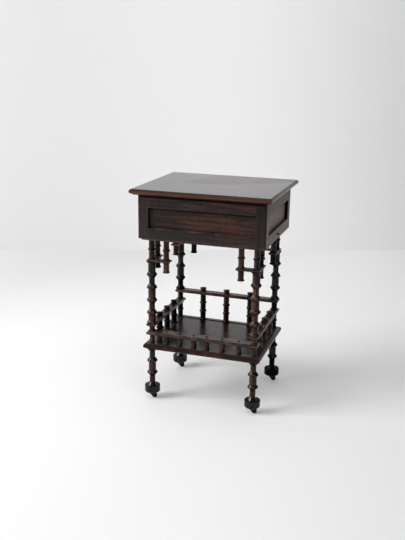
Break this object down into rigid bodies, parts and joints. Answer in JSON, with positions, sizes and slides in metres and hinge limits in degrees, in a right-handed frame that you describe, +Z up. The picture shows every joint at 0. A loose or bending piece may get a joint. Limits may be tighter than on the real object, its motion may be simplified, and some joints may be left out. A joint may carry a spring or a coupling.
{
  "type": "spool table",
  "caption": "Small lift-top work table on legs of stacked turned spools, with hanging corner drops, a low shelf with a spindle gallery, and swivel casters.",
  "frame": {"origin": "on the floor below the middle of the table", "axes": "+Z up, the front towards -Y, +X to the right seen from the front"},
  "size_m": [0.45, 0.385, 0.7114],
  "materials": {
    "board": "satin dark stain, worn",
    "panel": "red-brown streaky stain",
    "spool": "near-black stain, worn",
    "drop": "brown stain, worn",
    "strip": "dark stain, worn edges",
    "brass": "aged",
    "iron": "blackened",
    "wheel": "black, worn"
  },
  "bodies": {
    "table": {"left_hinge_case_leaf": "brass", "left_hinge_pin": "brass", "right_hinge_case_leaf": "brass", "right_hinge_pin": "brass", "front_frame": "board", "front_panel": "panel", "front_rail": "strip", "back_frame": "board", "back_panel": "panel", "back_rail": "strip", "left_frame": "board", "left_panel": "panel", "left_rail": "strip", "right_frame": "board", "right_panel": "panel", "right_rail": "strip", "bottom_board": "board", "shelf": "board", "front_spindle_1": "drop", "front_spindle_2": "drop", "front_spindle_3": "drop", "front_spindle_4": "drop", "front_spindle_5": "drop", "front_spindle_6": "drop", "back_spindle_1": "drop", "back_spindle_2": "drop", "back_spindle_3": "drop", "left_spindle_1": "drop", "left_spindle_2": "drop", "left_spindle_3": "drop", "right_spindle_1": "drop", "right_spindle_2": "drop", "right_spindle_3": "drop", "front_left_leg": "spool", "front_left_bracket": "strip", "front_left_face_drop": "drop", "front_left_side_drop": "drop", "front_right_leg": "spool", "front_right_bracket": "strip", "front_right_face_drop": "drop", "front_right_side_drop": "drop", "back_left_leg": "spool", "back_left_bracket": "strip", "back_left_face_drop": "drop", "back_left_side_drop": "drop", "back_right_leg": "spool", "back_right_bracket": "strip", "back_right_face_drop": "drop", "back_right_side_drop": "drop"},
    "lid": {"lid": "board", "left_hinge_lid_leaf": "brass", "right_hinge_lid_leaf": "brass"},
    "front_left_caster": {"front_left_caster_fork": "iron"},
    "front_left_wheel": {"front_left_caster_wheel": "wheel"},
    "front_right_caster": {"front_right_caster_fork": "iron"},
    "front_right_wheel": {"front_right_caster_wheel": "wheel"},
    "back_left_caster": {"back_left_caster_fork": "iron"},
    "back_left_wheel": {"back_left_caster_wheel": "wheel"},
    "back_right_caster": {"back_right_caster_fork": "iron"},
    "back_right_wheel": {"back_right_caster_wheel": "wheel"}
  },
  "joints": [
    {"name": "lid_hinge", "type": "hinge", "parent": "table", "child": "lid", "pos_m": [0, 0.1683, 0.6901], "axis": [-1, 0, 0], "range_deg": [0, 100]},
    {"name": "front_left_swivel", "type": "hinge", "parent": "table", "child": "front_left_caster", "pos_m": [-0.17225, -0.1357, 0.0215], "axis": [0, 0, 1], "continuous": true},
    {"name": "front_left_roll", "type": "hinge", "parent": "front_left_caster", "child": "front_left_wheel", "pos_m": [-0.16525, -0.1357, 0.0092], "axis": [0, 1, 0], "continuous": true},
    {"name": "front_right_swivel", "type": "hinge", "parent": "table", "child": "front_right_caster", "pos_m": [0.17225, -0.1357, 0.0215], "axis": [0, 0, 1], "continuous": true},
    {"name": "front_right_roll", "type": "hinge", "parent": "front_right_caster", "child": "front_right_wheel", "pos_m": [0.17925, -0.1357, 0.0092], "axis": [0, 1, 0], "continuous": true},
    {"name": "back_left_swivel", "type": "hinge", "parent": "table", "child": "back_left_caster", "pos_m": [-0.17225, 0.1357, 0.0215], "axis": [0, 0, 1], "continuous": true},
    {"name": "back_left_roll", "type": "hinge", "parent": "back_left_caster", "child": "back_left_wheel", "pos_m": [-0.16525, 0.1357, 0.0092], "axis": [0, 1, 0], "continuous": true},
    {"name": "back_right_swivel", "type": "hinge", "parent": "table", "child": "back_right_caster", "pos_m": [0.17225, 0.1357, 0.0215], "axis": [0, 0, 1], "continuous": true},
    {"name": "back_right_roll", "type": "hinge", "parent": "back_right_caster", "child": "back_right_wheel", "pos_m": [0.17925, 0.1357, 0.0092], "axis": [0, 1, 0], "continuous": true}
  ]
}
